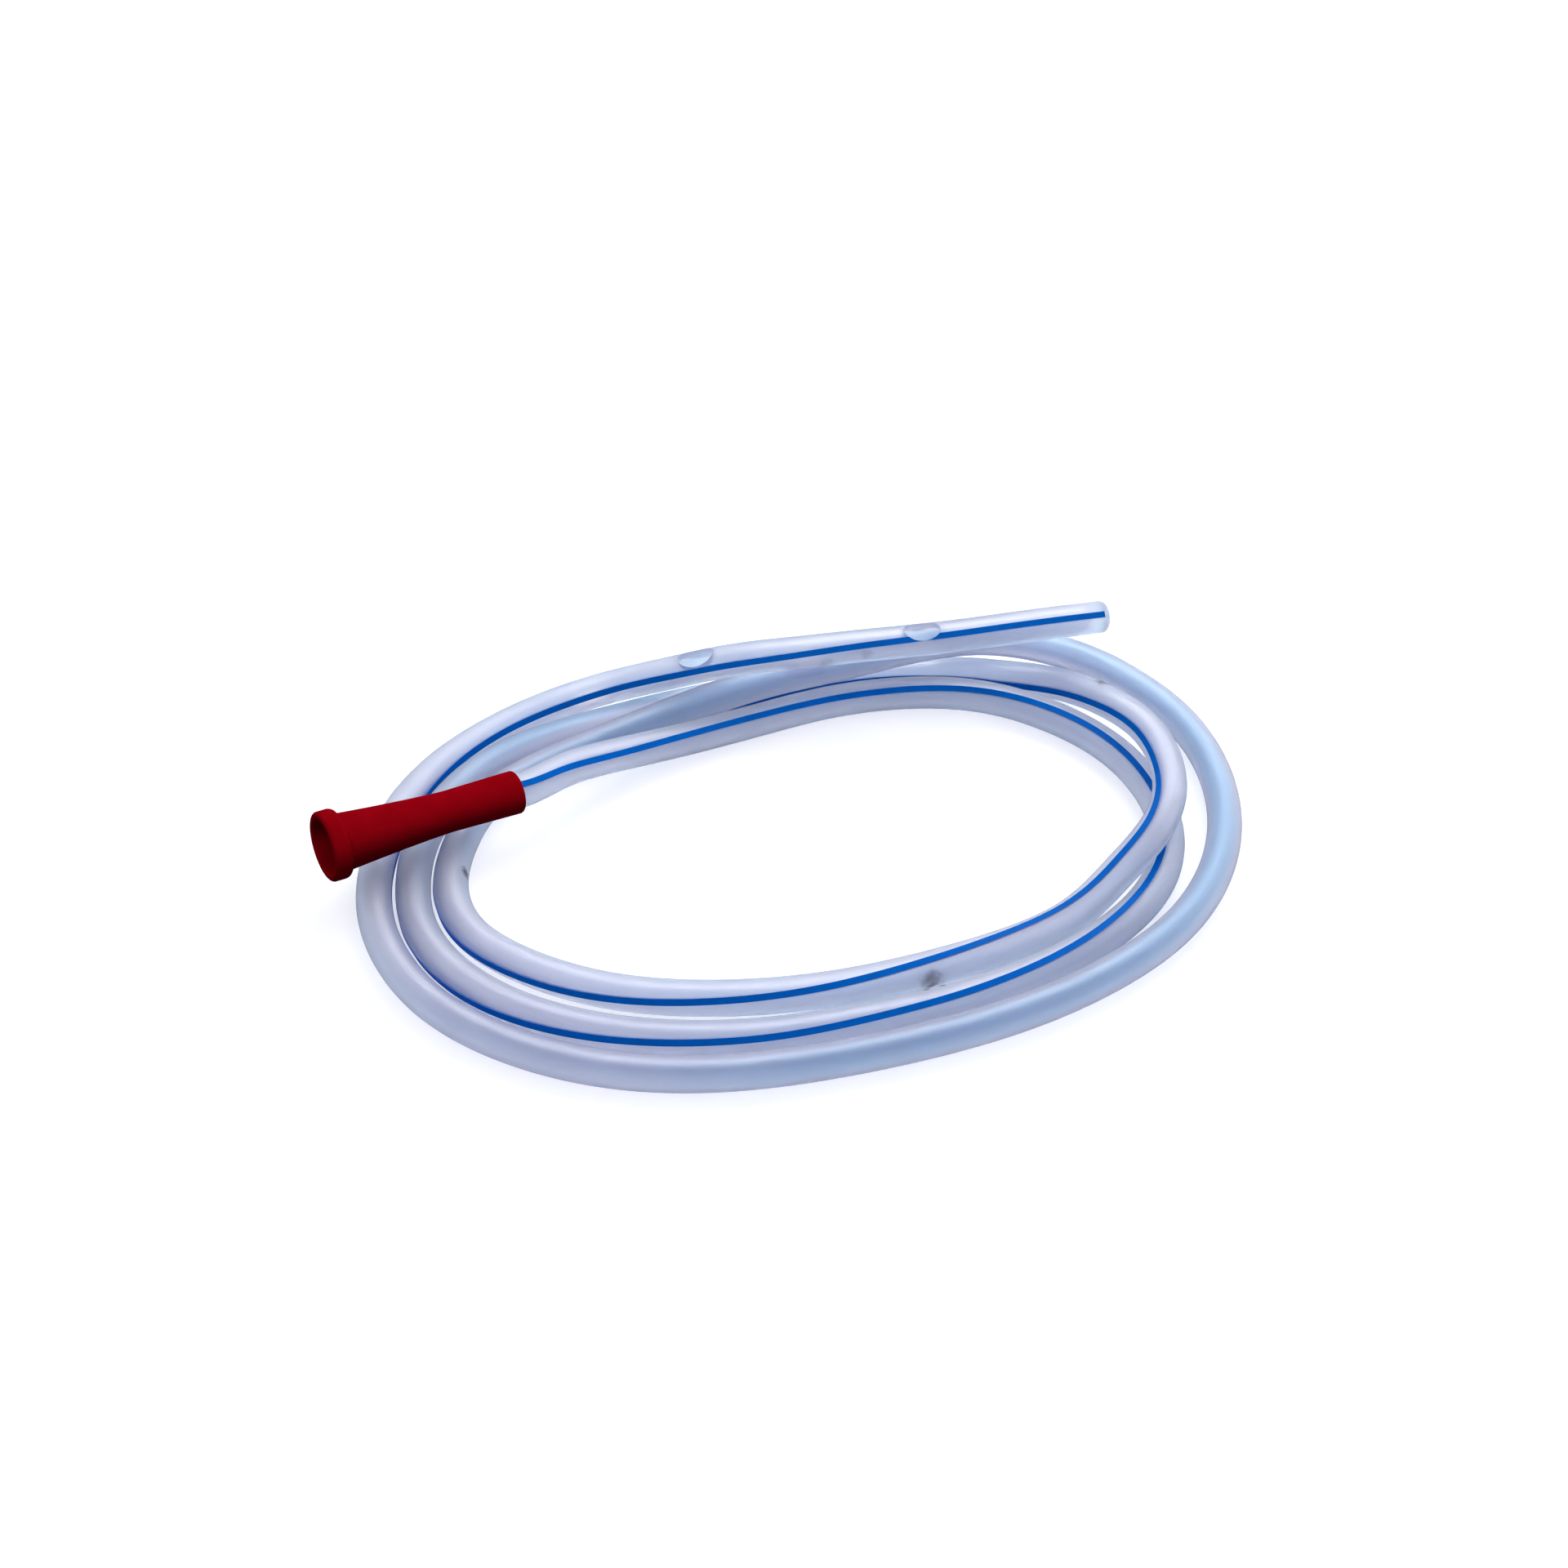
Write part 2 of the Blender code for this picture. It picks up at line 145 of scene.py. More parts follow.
class Value:
    """A socket that takes part in sums, in a shader's tree or a geometry tree."""

    def __init__(self, graph, socket):
        self.graph = graph
        self.socket = socket

    def math(self, operation, *others):
        return self.graph.math(operation, self, *others)

    def __add__(self, other):
        return self.math("ADD", other)

    def __radd__(self, other):
        return self.graph.math("ADD", other, self)

    def __sub__(self, other):
        return self.math("SUBTRACT", other)

    def __rsub__(self, other):
        return self.graph.math("SUBTRACT", other, self)

    def __mul__(self, other):
        return self.math("MULTIPLY", other)

    def __rmul__(self, other):
        return self.graph.math("MULTIPLY", other, self)

    def __truediv__(self, other):
        return self.math("DIVIDE", other)

    def __pow__(self, other):
        return self.math("POWER", other)

    def __neg__(self):
        return self.graph.math("SUBTRACT", 0.0, self)

    def __gt__(self, other):
        return self.math("GREATER_THAN", other)

    def most(self, other):
        return self.math("MAXIMUM", other)

    def root(self):
        return self.math("SQRT")

    def step(self, low, high):
        """A smooth step from 0 at low to 1 at high."""
        made = self.graph.node(
            "ShaderNodeMapRange",
            {"interpolation_type": "SMOOTHSTEP"},
            **{"Value": self, "From Min": low, "From Max": high},
        )
        return made["Result"]


class Vec(Value):
    """A vector socket that takes part in sums."""

    def math(self, operation, *others):
        return self.graph.vector_math(operation, self, *others)

    def length(self):
        return self.graph.vector_math("LENGTH", self)


class Outputs:
    """The output sockets of a node, by name."""

    def __init__(self, graph, node):
        self.graph = graph
        self.node = node

    def __getitem__(self, name):
        found = [s for s in self.node.outputs if s.name == name and s.enabled]
        return self.graph.wrap(found[0])


class Graph:
    """A node tree with one way to add a node of any type."""

    def __init__(self, tree):
        self.tree = tree

    def wrap(self, socket):
        return Vec(self, socket) if socket.type == "VECTOR" else Value(self, socket)

    def give(self, socket, value):
        """Link a socket to a value, or set it."""
        if isinstance(value, Value):
            self.tree.links.new(value.socket, socket)
        elif isinstance(value, (list, tuple)) and value and isinstance(value[0], Value):
            for item in value:
                self.tree.links.new(item.socket, socket)
        elif socket.type == "RGBA" and len(value) == 3:
            socket.default_value = (*value, 1.0)
        else:
            socket.default_value = value

    def node(self, kind, settings=None, **inputs):
        """Add a node of a type, with its settings and the values or links of its sockets."""
        made = self.tree.nodes.new(kind)
        for name, value in (settings or {}).items():
            setattr(made, name, value)
        for name, value in inputs.items():
            found = [s for s in made.inputs if s.name == name and s.enabled]
            self.give(found[0], value)
        return Outputs(self, made)

    def math(self, operation, *values):
        made = self.tree.nodes.new("ShaderNodeMath")
        made.operation = operation
        for socket, value in zip(made.inputs, values):
            self.give(socket, value)
        return Value(self, made.outputs[0])

    def vector_math(self, operation, *values):
        made = self.tree.nodes.new("ShaderNodeVectorMath")
        made.operation = operation
        for socket, value in zip(made.inputs, values):
            self.give(socket, value)
        return self.wrap([s for s in made.outputs if s.enabled][0])

    def mix(self, share, first, second):
        """A colour between two, by share."""
        made = self.tree.nodes.new("ShaderNodeMix")
        made.data_type = "RGBA"
        for index, value in ((0, share), (6, first), (7, second)):
            self.give(made.inputs[index], value)
        return Value(self, made.outputs[2])

    def noise(self, where, scale, detail=2.0, roughness=0.5):
        """Noise from about 0.3 to 0.7 at a place."""
        made = self.node(
            "ShaderNodeTexNoise", Vector=where, Scale=scale, Detail=detail, Roughness=roughness
        )
        return made["Fac"]


def smooth_route(points, first_direction, pitch):
    """Even stations on the cubic spline through the points, which leaves along first_direction."""
    knots = np.concatenate(([0.0], np.cumsum(np.linalg.norm(np.diff(points, axis=0), axis=1))))
    gaps = np.diff(knots)
    slopes = np.diff(points, axis=0) / gaps[:, None]
    count = len(points)
    system = np.zeros((count, count))
    right = np.zeros((count, 3))
    system[0, :2] = 2 * gaps[0], gaps[0]
    right[0] = 6 * (slopes[0] - first_direction)
    system[-1, -1] = 1.0
    for i in range(1, count - 1):
        system[i, i - 1:i + 2] = gaps[i - 1], 2 * (gaps[i - 1] + gaps[i]), gaps[i]
        right[i] = 6 * (slopes[i] - slopes[i - 1])
    bends = np.linalg.solve(system, right)

    fine = np.linspace(0.0, knots[-1], 8 * int(knots[-1] / pitch))
    k = np.clip(np.searchsorted(knots, fine, side="right") - 1, 0, count - 2)
    before = (fine - knots[k])[:, None]
    after = (knots[k + 1] - fine)[:, None]
    gap = gaps[k][:, None]
    curve = (
        (bends[k] * after ** 3 + bends[k + 1] * before ** 3) / (6 * gap)
        + (points[k] / gap - bends[k] * gap / 6) * after
        + (points[k + 1] / gap - bends[k + 1] * gap / 6) * before
    )
    curve[:, 2] = np.maximum(curve[:, 2], TUBE_OD / 2)
    run = np.concatenate(([0.0], np.cumsum(np.linalg.norm(np.diff(curve, axis=0), axis=1))))
    even = np.linspace(0.0, run[-1], round(run[-1] / pitch) + 1)
    stations = np.stack([np.interp(even, run, curve[:, i]) for i in range(3)], axis=1)
    return stations, even


class Path:
    """The tube's centre line, with the frame that its section is drawn in."""

    def __init__(self):
        points = np.array(ROUTE) * MM
        points[:, 2] += TUBE_OD / 2
        self.start = np.array((math.cos(FUNNEL_TILT), 0.0, -math.sin(FUNNEL_TILT)))
        self.exit = points[0]
        self.points, self.lengths = smooth_route(points, self.start, STATION_PITCH)
        self.total = self.lengths[-1]

    def place(self, length):
        """Centre at a length, which runs on straight past either end."""
        if length <= 0.0:
            return self.exit + self.start * length
        if length > self.total:
            last = self.points[-1] - self.points[-2]
            return self.points[-1] + last / np.linalg.norm(last) * (length - self.total)
        return np.array([np.interp(length, self.lengths, self.points[:, i]) for i in range(3)])

    def at(self, length):
        """Centre, direction, inward side and up at a length."""
        step = 0.002
        ahead = self.place(length + step) - self.place(length - step)
        along = ahead / np.linalg.norm(ahead)
        inward = np.cross(along, (0.0, 0.0, 1.0))
        inward /= np.linalg.norm(inward)
        return self.place(length), along, inward, np.cross(inward, along)

    def outward(self, length, degrees):
        """Unit vector from the centre to the side at some degrees from up."""
        _, _, inward, up = self.at(length)
        angle = math.radians(degrees)
        return math.sin(angle) * inward + math.cos(angle) * up


def strip_angle(length):
    """Degrees from up of the strip's middle at a length from the funnel."""
    places, angles = zip(*STRIP_TURNS)
    near = np.interp(length / MM + np.linspace(-STRIP_BLEND, STRIP_BLEND, 13), places, angles)
    return float(near.mean())


def station_lengths(first, last, rounding):
    """Lengths at the station pitch, closer where the tip is rounded off."""
    body = list(np.arange(first, last - rounding, STATION_PITCH))
    turns = np.linspace(0.0, math.pi / 2, 9)
    return body + [last - rounding * (1 - math.sin(turn)) for turn in turns]


def chain(name, points, normals=None):
    """A string of points joined by edges, for a geometry tree to sweep along."""
    mesh = bpy.data.meshes.new(name)
    edges = [(i, i + 1) for i in range(len(points) - 1)]
    mesh.from_pydata([tuple(p) for p in points], edges, [])
    if normals is not None:
        stored = mesh.attributes.new("outward", "FLOAT_VECTOR", "POINT")
        stored.data.foreach_set("vector", np.array(normals, dtype=np.float32).ravel())
    item = bpy.data.objects.new(name, mesh)
    bpy.context.scene.collection.objects.link(item)
    return item


def new_tree(name, inputs):
    """A geometry tree with named inputs of one number each, and its graph and input values."""
    tree = bpy.data.node_groups.new(name, "GeometryNodeTree")
    tree.interface.new_socket("Geometry", in_out="INPUT", socket_type="NodeSocketGeometry")
    for label, value in inputs.items():
        whole = isinstance(value, int)
        kind = "NodeSocketInt" if whole else "NodeSocketFloat"
        tree.interface.new_socket(label, in_out="INPUT", socket_type=kind).default_value = value
    tree.interface.new_socket("Material", in_out="INPUT", socket_type="NodeSocketMaterial")
    tree.interface.new_socket("Eyes", in_out="INPUT", socket_type="NodeSocketObject")
    tree.interface.new_socket("Geometry", in_out="OUTPUT", socket_type="NodeSocketGeometry")
    graph = Graph(tree)
    return graph, graph.node("NodeGroupInput")


def finish_tree(graph, geometry, material):
    """End a tree in plain geometry of one material."""
    real = graph.node("GeometryNodeRealizeInstances", Geometry=geometry)["Geometry"]
    done = graph.node("GeometryNodeSetMaterial", Geometry=real, Material=material)["Geometry"]
    graph.node("NodeGroupOutput", Geometry=done)
    return graph.tree


def grown(item, tree, material, eyes):
    """The plain mesh that a tree makes of an item; the item itself is removed."""
    modifier = item.modifiers.new("shape", "NODES")
    modifier.node_group = tree
    sockets = {s.name: s.identifier for s in tree.interface.items_tree if s.in_out == "INPUT"}
    modifier[sockets["Material"]] = material
    modifier[sockets["Eyes"]] = eyes
    evaluated = item.evaluated_get(bpy.context.evaluated_depsgraph_get())
    mesh = bpy.data.meshes.new_from_object(evaluated)
    name = item.name
    bpy.data.objects.remove(item, do_unlink=True)
    mesh.name = name
    made = bpy.data.objects.new(name, mesh)
    bpy.context.scene.collection.objects.link(made)
    return made


def eye_cutters(path):
    """Oval drums where the side eyes are, in one object for the trees to cut with."""
    mesh = bmesh.new()
    for from_tip, degrees in EYES:
        length = path.total - from_tip
        centre, along, _, _ = path.at(length)
        out = path.outward(length, degrees)
        across = np.cross(out, along)
        turn = Matrix(np.stack([along, across, out], axis=1).tolist()).to_4x4()
        place = Matrix.Translation(Vector(centre + out * EYE_CUTTER_PLACE))
        stretch = Matrix.Diagonal((EYE_LENGTH / 2, EYE_WIDTH / 2, EYE_CUTTER_DEPTH, 1.0))
        bmesh.ops.create_cone(
            mesh, cap_ends=True, segments=64, radius1=1.0, radius2=1.0, depth=1.0,
            matrix=place @ turn @ stretch,
        )
    data = bpy.data.meshes.new("eye_cutters")
    mesh.to_mesh(data)
    mesh.free()
    item = bpy.data.objects.new("eye_cutters", data)
    bpy.context.scene.collection.objects.link(item)
    return item


def crisp(graph, geometry, degrees):
    """Smooth faces, but edges sharper than some degrees."""
    angle = graph.node("GeometryNodeInputMeshEdgeAngle")["Unsigned Angle"]
    smooth = graph.node(
        "GeometryNodeSetShadeSmooth", {"domain": "FACE"}, **{"Geometry": geometry, "Shade Smooth": True}
    )["Geometry"]
    return graph.node(
        "GeometryNodeSetShadeSmooth",
        {"domain": "EDGE"},
        **{"Geometry": smooth, "Selection": angle > math.radians(degrees), "Shade Smooth": False},
    )["Geometry"]


def less_eyes(graph, mesh, given, *more):
    """A mesh with the side eyes, and whatever more is given, cut out of it."""
    eyes = graph.node("GeometryNodeObjectInfo", Object=given["Eyes"])["Geometry"]
    return graph.node(
        "GeometryNodeMeshBoolean",
        {"operation": "DIFFERENCE", "solver": "EXACT"},
        **{"Mesh 1": mesh, "Mesh 2": [eyes, *more]},
    )["Mesh"]


def swept_round(graph, route, radius, rounding, sides):
    """A round bar along the route, with its far end rounded off."""
    at = graph.node("GeometryNodeSplineParameter")["Length"]
    whole = graph.node("GeometryNodeSplineLength")["Length"]
    short = (rounding - (whole - at)).most(0.0)
    rounded = radius - rounding + (rounding ** 2 - short ** 2).most(0.0).root()
    ring = graph.node("GeometryNodeCurvePrimitiveCircle", Resolution=sides, Radius=1.0)["Curve"]
    return graph.node(
        "GeometryNodeCurveToMesh",
        **{"Curve": route, "Profile Curve": ring, "Scale": rounded, "Fill Caps": True},
    )["Mesh"]


def tube_tree():
    """Tree: the route becomes a hollow tube with a closed, rounded tip and its side eyes."""
    graph, given = new_tree("hollow tube along a route", {
        "Outside": TUBE_OD,
        "Bore": TUBE_BORE,
        "Tip Wall": TIP_WALL,
        "Tip Rounding": TIP_ROUNDING,
        "Sides": WALL_SIDES,
        "Bore Sides": BORE_SIDES,
    })
    route = graph.node("GeometryNodeMeshToCurve", Mesh=given["Geometry"])["Curve"]
    whole = graph.node("GeometryNodeCurveLength", Curve=route)["Length"]
    outer_route = graph.node(
        "GeometryNodeTrimCurve", {"mode": "LENGTH"}, Curve=route, Start=BORE_RUN_OUT, End=whole
    )["Curve"]
    bore_route = graph.node(
        "GeometryNodeTrimCurve", {"mode": "LENGTH"}, Curve=route, Start=0.0, End=whole - given["Tip Wall"]
    )["Curve"]
    outer = swept_round(graph, outer_route, given["Outside"] / 2.0, given["Tip Rounding"], given["Sides"])
    bore_radius = given["Bore"] / 2.0
    bore = swept_round(graph, bore_route, bore_radius, bore_radius * 0.8, given["Bore Sides"])
    wall = less_eyes(graph, outer, given, bore)
    return finish_tree(graph, crisp(graph, wall, 40), given["Material"])


def strip_tree():
    """Tree: the strip's line becomes a flat band, notched where an eye cuts it."""
    graph, given = new_tree("flat band along a line", {"Width": STRIP_WIDTH, "Depth": STRIP_DEPTH})
    line = graph.node("GeometryNodeMeshToCurve", Mesh=given["Geometry"])["Curve"]
    outward = graph.node(
        "GeometryNodeInputNamedAttribute", {"data_type": "FLOAT_VECTOR"}, Name="outward"
    )["Attribute"]
    facing = graph.node(
        "GeometryNodeSetCurveNormal", {"mode": "FREE"}, Curve=line, Normal=outward
    )["Curve"]
    section = graph.node(
        "GeometryNodeCurvePrimitiveQuadrilateral",
        {"mode": "RECTANGLE"},
        Width=given["Depth"],
        Height=given["Width"],
    )["Curve"]
    band = graph.node(
        "GeometryNodeCurveToMesh",
        **{"Curve": facing, "Profile Curve": section, "Fill Caps": True},
    )["Mesh"]
    return finish_tree(graph, crisp(graph, less_eyes(graph, band, given), 30), given["Material"])


def new_material(name):
    """A material with a Principled shader, its graph and the place on the object."""
    material = bpy.data.materials.new(name)
    material.use_nodes = True
    graph = Graph(material.node_tree)
    shader = material.node_tree.nodes["Principled BSDF"]
    where = graph.node("ShaderNodeTexCoord")["Object"]
    return material, graph, shader, where


def frosted_pvc(path):
    """Soft PVC with a frosted skin and a clear bore, that blurs what is behind it. It carries painted
    light and shade: the strip's blue, seen through the far wall, is painted on the wall across from the
    strip; painted shade darkens the eyes' cut edges; painted light whitens the bore under the eyes; two
    faint spots near the tip paint the underside eye seen through the wall.
    """
    material, graph, shader, where = new_material("frosted_pvc")
    shader.inputs["Transmission Weight"].default_value = 0.88
    shader.inputs["IOR"].default_value = 1.45
    shader.inputs["Specular IOR Level"].default_value = 0.1
    wall = graph.node("ShaderNodeAttribute", {"attribute_name": "wall"})["Vector"]
    parts = graph.node("ShaderNodeSeparateXYZ", Vector=wall)
    eye_rim_painted_shade = parts["Y"].most(0.0)
    eye_inside_painted_light = (-parts["Y"]).most(0.0)
    in_bore = parts["Z"]
    # Painted light: the strip's blue, as seen through the tube from the far wall, is painted on the wall
    # across from the strip.
    painted_see_through_mask = (-parts["X"]).step(0.3, 1.0) * (1.0 - in_bore)
    cloud = graph.noise(where, 140.0, detail=3.0)
    tint = graph.mix(cloud.step(0.35, 0.65), (0.79, 0.805, 0.915), (0.82, 0.835, 0.935))
    # The painted see-through blue is drawn fainter towards the coil's left end.
    along_coil = graph.node("ShaderNodeSeparateXYZ", Vector=where)["X"]
    see_through_strength = 0.25 + 0.55 * along_coil.step(-0.065, -0.025)
    tint = graph.mix(painted_see_through_mask * see_through_strength, tint, (0.40, 0.66, 0.89))
    # Painted shade: the cut edges of the eyes are darkened.
    tint = graph.mix(eye_rim_painted_shade * 0.55, tint, (0.42, 0.46, 0.68))
    # Painted light: the bore under each eye is whitened where light falls in through it.
    tint = graph.mix(eye_inside_painted_light * 0.9, tint, (0.98, 0.98, 1.0))
    # Each spot darkens the skin: real stains, and near the tip painted shade of the underside eye seen
    # through the wall.
    for length, degrees, radius, dark in STAINS_AND_SEEN_EYE_SHADE:
        spot = path.place(length * MM) + path.outward(length * MM, degrees) * (TUBE_OD / 2)
        far = (where - tuple(spot.tolist())).length() / (radius * MM)
        ragged = far + 1.2 * graph.noise(where, 900.0) - 0.6
        tint = graph.mix((1.0 - ragged.step(0.2, 1.1)) * dark, tint, (0.06, 0.05, 0.08))
    graph.give(shader.inputs["Base Color"], tint)
    graph.give(shader.inputs["Roughness"], (0.60 + 0.12 * cloud) * (1.0 - 0.5 * in_bore))
    return material


def radiopaque_blue():
    """The strip: opaque blue under the tube's satin skin."""
    material, graph, shader, where = new_material("radiopaque_blue")
    cloud = graph.noise(where, 500.0, detail=2.0)
    tint = graph.mix(cloud.step(0.3, 0.7), (0.0, 0.105, 0.48), (0.0, 0.115, 0.53))
    shader.inputs["Specular IOR Level"].default_value = 0.02
    graph.give(shader.inputs["Base Color"], tint)
    graph.give(shader.inputs["Roughness"], 0.42 + 0.1 * cloud)
    return material


def red_pvc():
    """The funnel: moulded soft PVC with a dull skin, with painted shade that darkens it towards its
    underside.
    """
    material, graph, shader, where = new_material("red_pvc")
    cloud = graph.noise(where, 300.0, detail=3.0)
    tint = graph.mix(cloud.step(0.3, 0.7), (0.215, 0.0005, 0.004), (0.235, 0.001, 0.005))
    normal = graph.node("ShaderNodeNewGeometry")["Normal"]
    under = graph.node("ShaderNodeSeparateXYZ", Vector=normal)["Z"]
    # Painted shade: the funnel's colour darkens where its surface faces down.
    tint = graph.mix((-under).step(-0.75, 0.3), tint, (0.055, 0.0002, 0.002))
    shader.inputs["Specular IOR Level"].default_value = 0.0
    graph.give(shader.inputs["Base Color"], tint)
    graph.give(shader.inputs["Roughness"], 0.42 + 0.12 * cloud)
    return material


def mark_wall(item, path):
    """Store three marks on each point of the wall.

    The first is the cosine between its side and the strip's. The second is 1 on the edge of an eye, where
    painted shade goes, and -1 where the light falls in under one, where painted light goes. The third is
    1 in the bore.
    """
    lengths = np.arange(-SOCKET_DEPTH, path.total, MARK_PITCH)
    tree = KDTree(len(lengths))
    frames = []
    for i, length in enumerate(lengths):
        centre, _, inward, up = path.at(length)
        angle = math.radians(strip_angle(length))
        frames.append((centre, math.sin(angle) * inward + math.cos(angle) * up))
        tree.insert(centre, i)
    tree.balance()
    spots = np.array([vertex.co for vertex in item.data.vertices])
    at_eyes = np.zeros(len(spots))
    for from_tip, degrees in EYES:
        centre, along, _, _ = path.at(path.total - from_tip)
        out = path.outward(path.total - from_tip, degrees)
        reach = (spots - centre) @ np.stack([along, np.cross(out, along), out], axis=1)
        oval = (reach[:, 0] / (EYE_LENGTH / 2)) ** 2 + (reach[:, 1] / (EYE_WIDTH / 2)) ** 2
        height = reach[:, 2]
        at_eyes[(oval < 1.1) & (height > 0.0) & (height < TUBE_OD)] = 1.0
        at_eyes[(oval < 1.1) & (height < 0.0) & (height > -0.4 * TUBE_OD)] = -1.0
    values = []
    for vertex, at_eye in zip(item.data.vertices, at_eyes):
        centre, towards_strip = frames[tree.find(vertex.co)[1]]
        out = np.array(vertex.co) - centre
        radius = np.linalg.norm(out)
        side = float(out @ towards_strip) / max(radius, 1e-6)
        values += (side, at_eye, float(radius < BORE_LIMIT))
    item.data.attributes.new("wall", "FLOAT_VECTOR", "POINT").data.foreach_set("vector", values)


def build_tube(path, eyes, material):
    """The tube's wall in one mesh, swept and cut by its tree."""
    last = path.total
    lengths = [-SOCKET_DEPTH - BORE_RUN_OUT, *station_lengths(-SOCKET_DEPTH, last, TIP_ROUNDING)]
    item = chain("clear_tube", [path.place(s) for s in lengths])
    tube = grown(item, tube_tree(), material, eyes)
    mark_wall(tube, path)
    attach(tube, "root")
    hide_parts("tube")
    return tube


def build_strip(path, eyes, material):
    """The radiopaque strip, a hair proud of the tube's skin."""
    points, normals = [], []
    middle = TUBE_OD / 2 + STRIP_PROUD - STRIP_DEPTH / 2
    for s in np.arange(-SOCKET_DEPTH, path.total - STRIP_END_MARGIN, STATION_PITCH):
        out = path.outward(s, strip_angle(s))
        points.append(path.place(s) + out * middle)
        normals.append(out)
    strip = grown(chain("blue_line", points, normals), strip_tree(), material, eyes)
    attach(strip, "root")
    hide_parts("xray_line")
    return strip


def arc(centre_place, centre_radius, radius, first, last, steps):
    """Points on part of a circle in the funnel's profile, as place along it and radius."""
    points = []
    for i in range(steps + 1):
        turn = math.radians(first + (last - first) * i / steps)
        points.append((centre_place + radius * math.cos(turn), centre_radius + radius * math.sin(turn)))
    return points


def funnel_profile():
    """The funnel's section from its small end along the outside and back along the inside."""
    bore = TUBE_OD / 2 + SOCKET_CLEARANCE
    socket = bore + SOCKET_WALL
    socket_end = SOCKET_DEPTH + SOCKET_CLEARANCE
    throat = THROAT_BORE / 2
    throat_end = socket_end + THROAT_LENGTH
    mouth = MOUTH_BORE / 2
    rim = mouth + RIM_WALL
    rim_start = FUNNEL_LENGTH - RIM_WIDTH
    flare = throat + (mouth - throat) * (rim_start - throat_end) / (FUNNEL_LENGTH - throat_end)
    flare += FLARE_WALL
    waist = socket - WAIST_DROP
    waist_place = socket_end + WAIST_RUN

    edge = FUNNEL_EDGE
    outside = arc(edge, socket - edge, edge, 180, 90, 8)
    for i in range(FLARE_STEPS + 1):
        share = i / FLARE_STEPS
        place = waist_place + (rim_start - waist_place) * share
        outside.append((place, waist + (flare - waist) * share ** FLARE_CURVE))
    shoulder = rim - flare
    outside += arc(rim_start + shoulder, flare, shoulder, 180, 90, 8)
    outside += arc(FUNNEL_LENGTH - edge, rim - edge, edge, 90, 0, 8)
    lip = FUNNEL_LIP
    inside = arc(FUNNEL_LENGTH - lip, mouth + lip, lip, 0, -90, 5)
    inside += [(throat_end, throat), (socket_end, throat), (socket_end, bore), (0.0, bore)]
    return outside + inside


def build_funnel(path, material):
    """The moulded funnel."""
    mesh = bmesh.new()
    turns = [2 * math.pi * i / FUNNEL_SIDES for i in range(FUNNEL_SIDES)]
    move = Matrix.Translation(Vector(path.exit)) @ Matrix.Rotation(FUNNEL_TILT, 4, "Y")
    rings = []
    for place, radius in funnel_profile():
        points = [Vector((-place, radius * math.sin(t), radius * math.cos(t))) for t in turns]
        rings.append([mesh.verts.new(move @ point) for point in points])
    for ring, following in zip(rings, rings[1:] + rings[:1]):
        for i in range(FUNNEL_SIDES):
            j = (i + 1) % FUNNEL_SIDES
            mesh.faces.new((ring[i], ring[j], following[j], following[i]))
    bmesh.ops.recalc_face_normals(mesh, faces=mesh.faces)
    data = bpy.data.meshes.new("red_funnel")
    mesh.to_mesh(data)
    mesh.free()
    data.shade_smooth()
    data.set_sharp_from_angle(angle=math.radians(50))
    data.materials.append(material)
    funnel = bpy.data.objects.new("red_funnel", data)
    bpy.context.scene.collection.objects.link(funnel)
    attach(funnel, "root")
    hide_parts("funnel_connector")
    return funnel


def seen_share(graph, through):
    """1 for a ray from the camera, and some share for one off a surface or through the tube."""
    rays = graph.node("ShaderNodeLightPath")
    passed = rays["Is Glossy Ray"].most(rays["Is Transmission Ray"])
    return rays["Is Camera Ray"].most(passed * through)


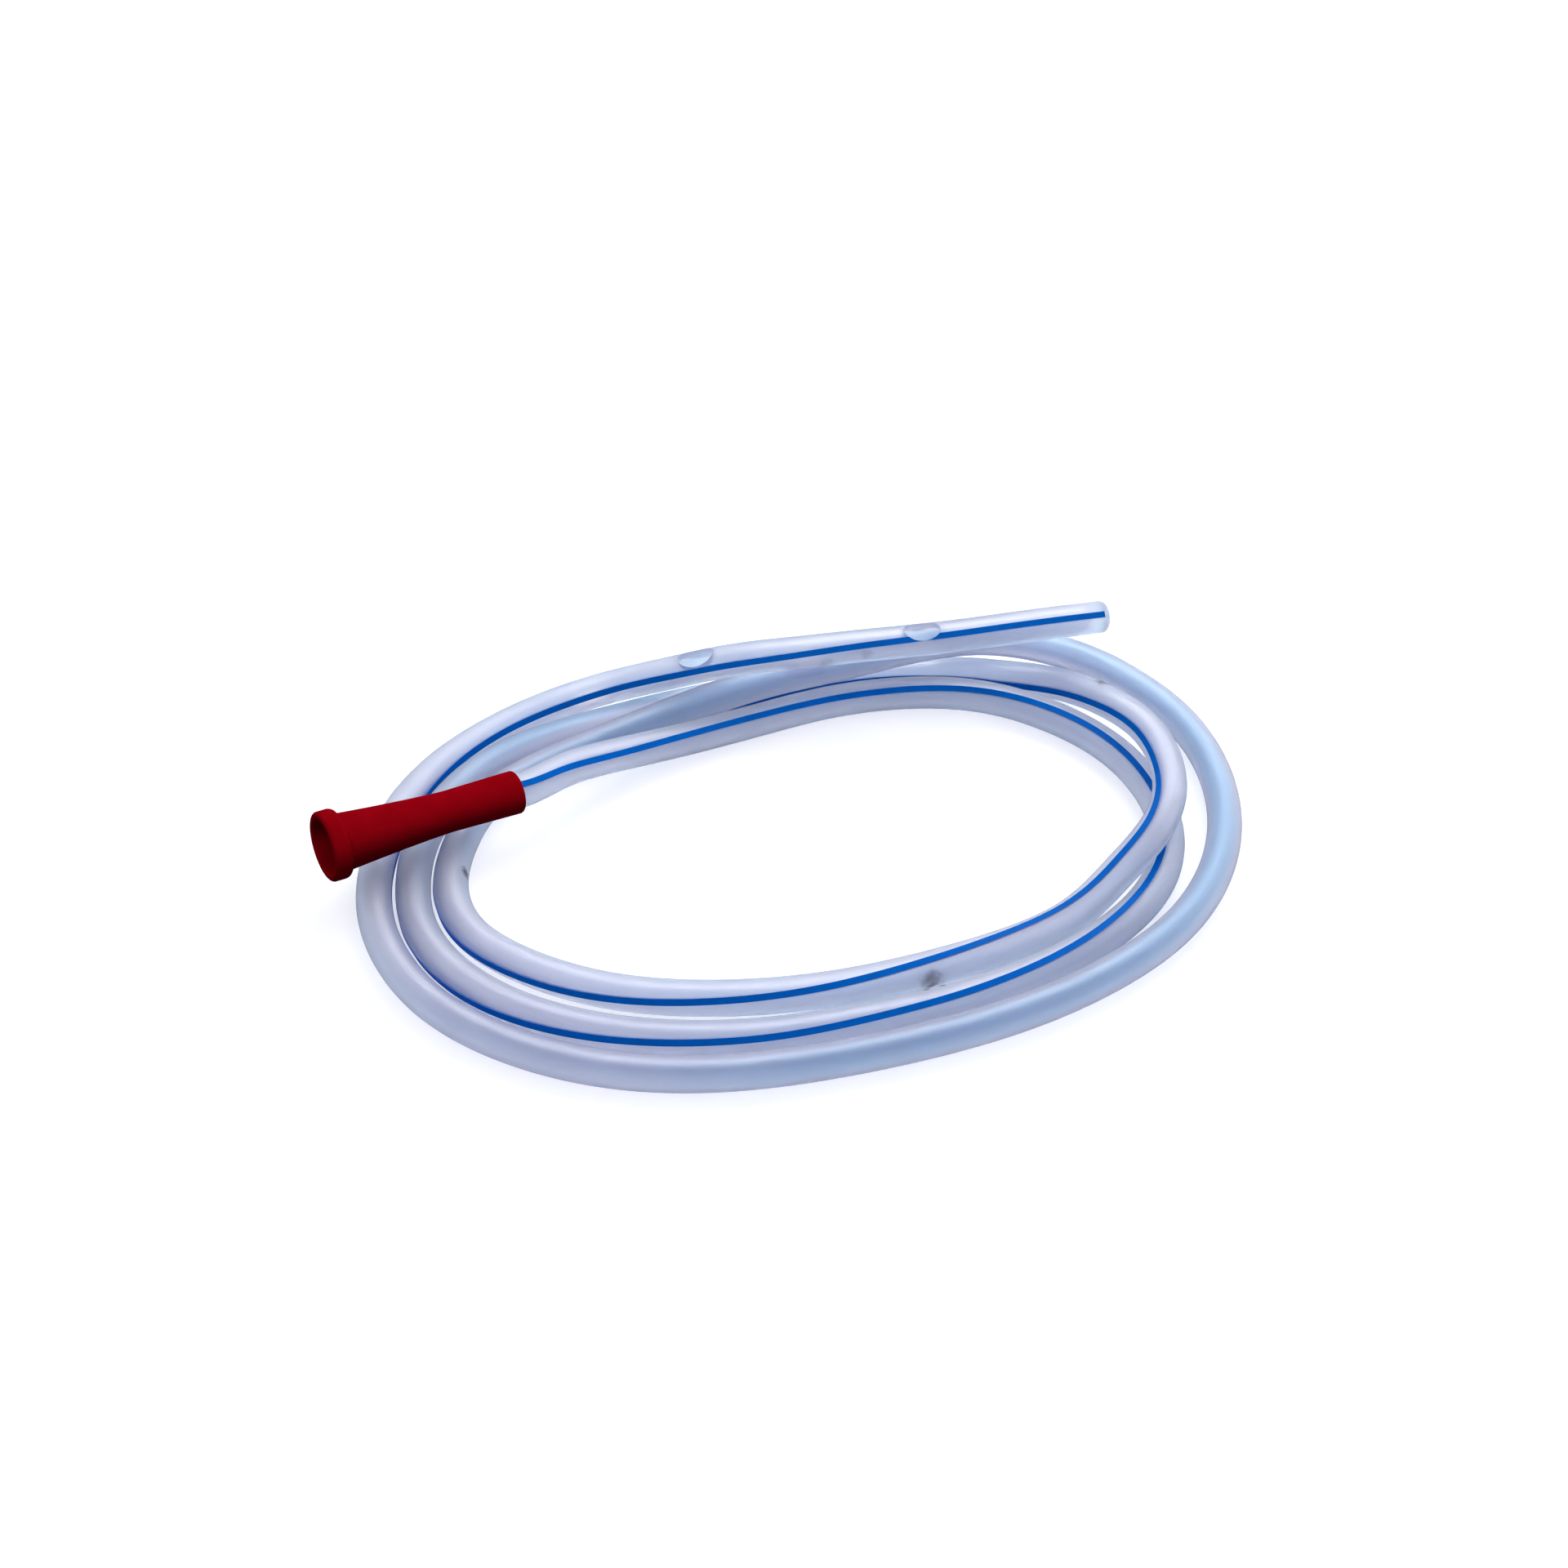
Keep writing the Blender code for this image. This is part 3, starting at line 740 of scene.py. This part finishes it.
def build_stage():
    """A white world that lights less from the left, and a white floor that keeps the shadow."""
    world = bpy.data.worlds.new("white")
    bpy.context.scene.world = world
    world.use_nodes = True
    graph = Graph(world.node_tree)
    seen = seen_share(graph, 0.8)
    background = world.node_tree.nodes["Background"]
    background.inputs["Color"].default_value = (1.0, 1.0, 1.0, 1.0)
    direction = graph.node("ShaderNodeTexCoord")["Generated"]
    right = graph.node("ShaderNodeSeparateXYZ", Vector=direction)["X"]
    fill = 0.95 - 0.45 * (-right).step(0.0, 0.8) - 0.15 * right.step(0.2, 1.0)
    graph.give(background.inputs["Strength"], seen + fill * (1.0 - seen))

    mesh = bpy.data.meshes.new("floor")
    half = 3.0
    corners = [(-half, -half, 0.0), (half, -half, 0.0), (half, half, 0.0), (-half, half, 0.0)]
    mesh.from_pydata(corners, [], [(0, 1, 2, 3)])
    floor = bpy.data.objects.new("floor", mesh)
    bpy.context.scene.collection.objects.link(floor)
    material = bpy.data.materials.new("floor_white")
    material.use_nodes = True
    graph = Graph(material.node_tree)
    nodes = material.node_tree.nodes
    nodes.remove(nodes["Principled BSDF"])
    seen = seen_share(graph, 0.7)
    plain = graph.node("ShaderNodeBsdfDiffuse", Color=(0.8, 0.8, 0.8))["BSDF"]
    faint = graph.node("ShaderNodeBsdfDiffuse", Color=(0.50, 0.50, 0.50))["BSDF"]
    glow = graph.node("ShaderNodeEmission", Color=(0.90, 0.92, 1.0), Strength=0.68)["Emission"]
    shown = graph.node("ShaderNodeAddShader")
    graph.tree.links.new(faint.socket, shown.node.inputs[0])
    graph.tree.links.new(glow.socket, shown.node.inputs[1])
    both = graph.node("ShaderNodeMixShader", Fac=seen)
    graph.tree.links.new(plain.socket, both.node.inputs[1])
    graph.tree.links.new(shown["Shader"].socket, both.node.inputs[2])
    graph.tree.links.new(both["Shader"].socket, nodes["Material Output"].inputs["Surface"])
    mesh.materials.append(material)


def add_lamp(name, place, target, size, power):
    """A soft square lamp that looks at a point."""
    data = bpy.data.lights.new(name, "AREA")
    data.shape = "SQUARE"
    data.size = size
    data.energy = power
    lamp = bpy.data.objects.new(name, data)
    lamp.location = place
    lamp.rotation_mode = "QUATERNION"
    lamp.rotation_quaternion = (Vector(target) - Vector(place)).to_track_quat("-Z", "Y")
    bpy.context.scene.collection.objects.link(lamp)


def build_camera():
    """The camera of the photograph: 36 degrees down, from the front and a little to the left."""
    data = bpy.data.cameras.new("camera")
    data.sensor_width = 36.0
    data.lens = 64.69
    data.clip_start = 0.01
    camera = bpy.data.objects.new("camera", data)
    camera.location = (-0.1995, -0.3341, 0.2970)
    camera.rotation_mode = "QUATERNION"
    camera.rotation_quaternion = Vector((0.4060, 0.6998, -0.5878)).to_track_quat("-Z", "Y")
    bpy.context.scene.collection.objects.link(camera)
    bpy.context.scene.camera = camera


bpy.context.scene.view_settings.view_transform = "Standard"
path = Path()
eyes = eye_cutters(path)
tube = build_tube(path, eyes, frosted_pvc(path))
strip = build_strip(path, eyes, radiopaque_blue())
bpy.data.objects.remove(eyes, do_unlink=True)
build_funnel(path, red_pvc())
[path.place(s) for s in station_lengths(-SOCKET_DEPTH, path.total, TIP_ROUNDING)]
build_stage()
add_lamp("key", (0.44, 0.40, 0.60), (0.0, 0.0, 0.0), 0.7, 5.0)
build_camera()
